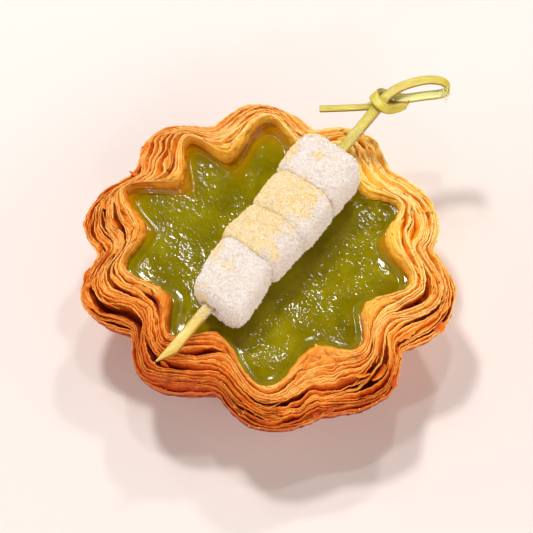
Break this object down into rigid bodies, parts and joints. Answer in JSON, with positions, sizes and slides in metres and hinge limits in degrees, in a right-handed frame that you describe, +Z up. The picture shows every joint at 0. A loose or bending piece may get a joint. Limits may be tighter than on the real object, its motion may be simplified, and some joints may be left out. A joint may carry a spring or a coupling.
{
  "type": "matcha egg tart",
  "caption": "Matcha egg tart: custard in a fluted case of layered pastry, with dusted mochi on a knotted bamboo pick laid across it",
  "frame": {"origin": "middle of the flat foot of the pastry case, on the plane that the tart stands on", "axes": "+Z up; -Y towards the side that the picture is taken from; the pick's point lies to the front left and its knot to the back right"},
  "size_m": [0.0952, 0.0946, 0.0413],
  "materials": {
    "pastry_case": "baked puff pastry, layered and browned",
    "matcha_custard": "wet, glossy custard skin",
    "mochi": "dusted with starch and roasted soy flour",
    "bamboo_pick": "green bamboo skin, pale inside"
  },
  "bodies": {
    "root": {"pastry_case": "pastry_case", "matcha_custard": "matcha_custard", "mochi_1": "mochi", "mochi_2": "mochi", "mochi_3": "mochi", "mochi_4": "mochi", "bamboo_pick": "bamboo_pick"}
  },
  "joints": []
}
